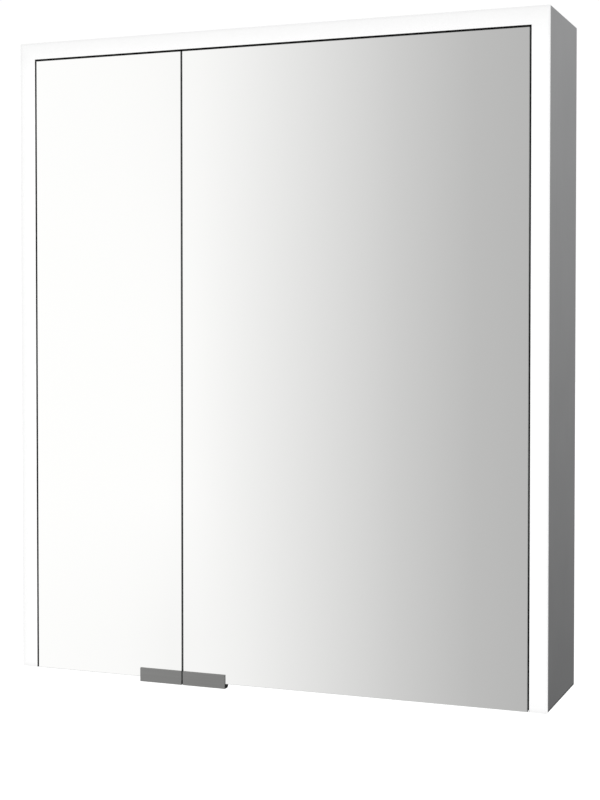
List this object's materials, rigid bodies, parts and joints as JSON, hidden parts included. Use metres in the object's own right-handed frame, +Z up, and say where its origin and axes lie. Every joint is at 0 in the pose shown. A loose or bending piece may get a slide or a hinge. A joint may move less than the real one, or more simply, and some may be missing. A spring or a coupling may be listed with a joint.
{
  "type": "medicine cabinet with mirror",
  "caption": "Wall-hung cabinet with a narrow and a wide mirror door set flush in a glowing aluminium frame; glass shelves, concealed hinges, socket and light switch inside.",
  "frame": {"origin": "centre of the four wall fixing holes, on the wall plane behind the rear panel", "axes": "+X to the right for a person in front of the cabinet, +Y towards the wall, +Z up; the doors face -Y"},
  "size_m": [0.6, 0.1362, 0.7057],
  "materials": {
    "aluminium_body": "anodised, satin, natural",
    "cap_plastic": "moulded, fine grain, grey",
    "bracket_aluminium": "extruded, cut to length, untreated",
    "cast_metal": "nickel-plated die casting",
    "galvanised_sheet": "grey powder coat",
    "cover_metal": "brushed sheet",
    "screw_steel": "zinc-plated",
    "mirror_glass": "silvered float glass with polished edges",
    "opal_diffuser": "opal acrylic, lit from behind",
    "led_board": "white solder mask with chips",
    "black_rubber": "matt black",
    "clear_buffer": "soft translucent buffer",
    "white_plastic": "moulded, semi-gloss",
    "lead_dark": "sheathed lead",
    "lead_pale": "sheathed lead",
    "clear_glass": "clear toughened glass with polished edges",
    "black_core": "matt black",
    "handle_metal": "anodised, satin, dark grey",
    "grip_rubber": "matt black"
  },
  "bodies": {
    "cabinet": {"side_panel_left": "aluminium_body", "side_panel_right": "aluminium_body", "top_panel": "aluminium_body", "bottom_panel": "aluminium_body", "corner_brackets": "bracket_aluminium", "bottom_connectors": "bracket_aluminium", "end_cap_left": "cap_plastic", "end_cap_right": "cap_plastic", "rear_panel": "galvanised_sheet", "rear_screws": "screw_steel", "back_mirror": "mirror_glass", "fixing_washers": "screw_steel", "light_diffuser": "opal_diffuser", "led_strip_left": "led_board", "led_strip_right": "led_board", "led_strip_top": "led_board", "light_seal": "black_rubber", "door_buffers": "clear_buffer", "electrics_cover": "cover_metal", "cover_screws": "screw_steel", "led_driver": "white_plastic", "driver_screws": "screw_steel", "terminal_block": "white_plastic", "cable_grommet": "black_rubber", "mains_leads": "lead_dark", "led_leads": "lead_pale", "socket_insert": "white_plastic", "socket_contacts": "screw_steel", "switch_frame": "white_plastic", "shelf_upper": "clear_glass", "shelf_lower": "clear_glass", "shelf_pegs": "screw_steel", "mounting_plate_left_upper": "cast_metal", "mounting_plate_left_lower": "cast_metal", "mounting_plate_right_upper": "cast_metal", "mounting_plate_right_lower": "cast_metal", "hinge_arm_left_upper": "cast_metal", "hinge_arm_left_lower": "cast_metal", "hinge_arm_right_upper": "cast_metal", "hinge_arm_right_lower": "cast_metal", "hinge_screws": "screw_steel"},
    "left_door": {"left_front_mirror": "mirror_glass", "left_door_core": "black_core", "left_back_mirror": "mirror_glass", "left_handle": "handle_metal", "left_handle_grip": "grip_rubber", "left_hinge_cup_upper": "cast_metal", "left_hinge_cup_lower": "cast_metal", "left_hinge_pins": "screw_steel", "left_cup_screws": "screw_steel"},
    "right_door": {"right_front_mirror": "mirror_glass", "right_door_core": "black_core", "right_back_mirror": "mirror_glass", "right_handle": "handle_metal", "right_handle_grip": "grip_rubber", "right_hinge_cup_upper": "cast_metal", "right_hinge_cup_lower": "cast_metal", "right_hinge_pins": "screw_steel", "right_cup_screws": "screw_steel"},
    "rocker": {"light_rocker": "white_plastic"}
  },
  "joints": [
    {"name": "left_door_hinge", "type": "hinge", "parent": "cabinet", "child": "left_door", "pos_m": [-0.262, -0.1288, 0], "axis": [0, 0, -1], "range_deg": [0, 105]},
    {"name": "right_door_hinge", "type": "hinge", "parent": "cabinet", "child": "right_door", "pos_m": [0.262, -0.1288, 0], "axis": [0, 0, 1], "range_deg": [0, 105]},
    {"name": "light_rocker_tilt", "type": "hinge", "parent": "cabinet", "child": "rocker", "pos_m": [-0.159, -0.098, 0.3078], "axis": [-1, 0, 0], "range_deg": [0, 14]}
  ]
}
